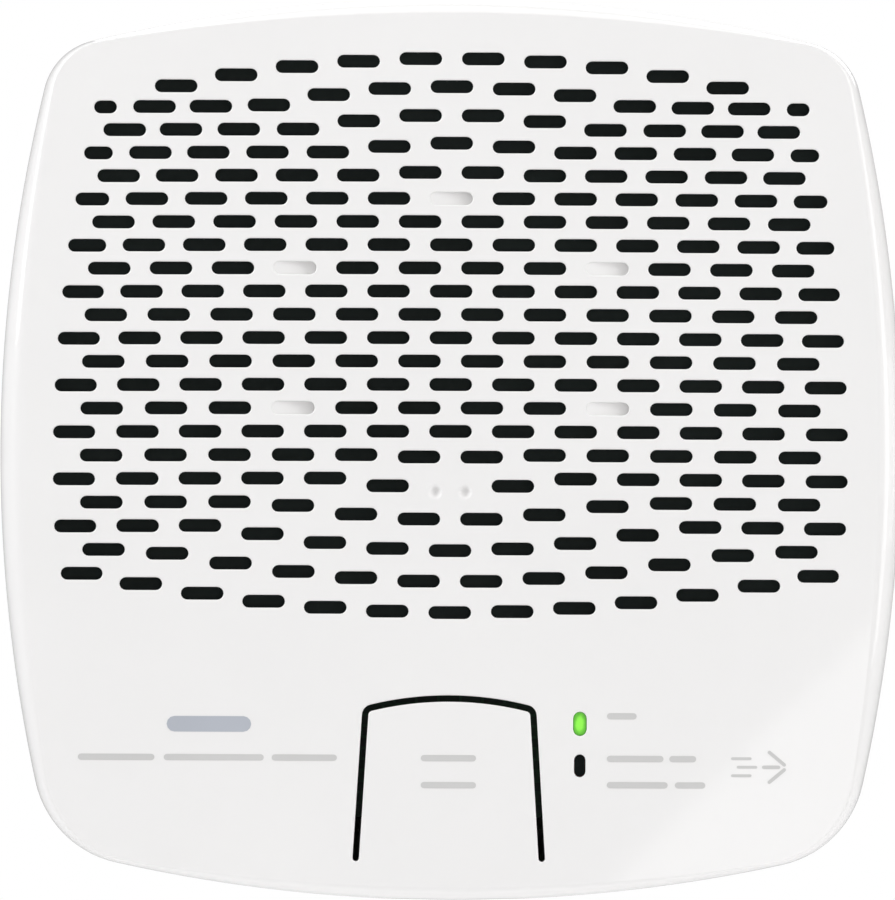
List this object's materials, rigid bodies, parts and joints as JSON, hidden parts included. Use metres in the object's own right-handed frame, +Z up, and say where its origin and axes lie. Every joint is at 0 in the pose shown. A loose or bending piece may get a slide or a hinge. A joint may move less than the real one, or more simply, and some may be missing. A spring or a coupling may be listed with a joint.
{
  "type": "carbon monoxide detector",
  "caption": "Square bowed wall alarm for carbon monoxide with a slotted grille, a flexing test button, status lights, a battery well and a twist-lock mounting plate",
  "frame": {"origin": "Centre of the mounting plate's back face, on the wall plane Y = 0.", "axes": "Z up the wall, X to the right as seen from the front, and the front faces -Y, away from the wall."},
  "size_m": [0.127, 0.038, 0.127],
  "materials": {
    "cover_plastic": "satin",
    "rear_plastic": "satin",
    "plate_plastic": "satin",
    "screen_black": "matte",
    "ink_grey": "matte",
    "mark_grey": "matte",
    "screw_steel": "satin",
    "board_green": "satin",
    "sensor_metal": "satin",
    "sensor_cap": "matte",
    "pin_gold": "polished",
    "sounder_black": "satin",
    "sounder_grey": "satin",
    "disc_brass": "satin",
    "ceramic": "matte",
    "tinned_metal": "satin",
    "switch_black": "satin",
    "led_green": "gloss",
    "led_red": "gloss",
    "pipe_green": "gloss",
    "pipe_red": "gloss",
    "chip_black": "matte",
    "capacitor_blue": "satin",
    "ferrite": "matte",
    "copper_wire": "satin",
    "cell_metal": "satin",
    "cell_sleeve": "gloss",
    "spring_steel": "polished"
  },
  "bodies": {
    "wall_plate": {"mounting_plate": "plate_plastic"},
    "alarm": {"rear_housing": "rear_plastic", "front_cover": "cover_plastic", "dust_screen": "screen_black", "face_markings": "ink_grey", "mark_bar": "mark_grey", "case_screws": "screw_steel", "circuit_board": "board_green", "board_screws": "screw_steel", "co_sensor_can": "sensor_metal", "co_sensor_cap": "sensor_cap", "co_sensor_pins": "pin_gold", "sounder_housing": "sounder_black", "sounder_ring": "sounder_grey", "piezo_disc": "disc_brass", "piezo_ceramic": "ceramic", "piezo_contacts": "tinned_metal", "switch_body": "switch_black", "switch_cover": "tinned_metal", "green_led": "led_green", "red_led": "led_red", "green_light_pipe": "pipe_green", "red_light_pipe": "pipe_red", "microcontroller": "chip_black", "microcontroller_leads": "tinned_metal", "crystal": "tinned_metal", "capacitor": "capacitor_blue", "capacitor_base": "switch_black", "coil_core": "ferrite", "coil_winding": "copper_wire", "chip_resistors": "chip_black", "battery_upper": "cell_metal", "battery_lower": "cell_metal", "battery_sleeves": "cell_sleeve", "positive_contact": "tinned_metal", "negative_contact": "tinned_metal", "link_contact": "tinned_metal", "negative_spring": "spring_steel", "link_spring": "spring_steel"},
    "test_button": {"test_button": "cover_plastic", "button_markings": "ink_grey"},
    "switch_plunger": {"switch_plunger": "switch_black"}
  },
  "joints": [
    {"name": "twist_off", "type": "hinge", "parent": "wall_plate", "child": "alarm", "pos_m": [0, 0, 0], "axis": [0, -1, 0], "range_deg": [0, 15]},
    {"name": "test_press", "type": "hinge", "parent": "alarm", "child": "test_button", "pos_m": [0, -0.0377, -0.0575], "axis": [-1, 0, 0], "range_deg": [0, 2.2], "stiffness_Nm_per_rad": 0.8},
    {"name": "plunger_press", "type": "slide", "parent": "alarm", "child": "switch_plunger", "axis": [0, 1, 0], "range_m": [0, 0.0006]}
  ],
  "couplings": [
    {"joint": "plunger_press", "follows": "test_press", "m_per_rad": 0.014}
  ]
}
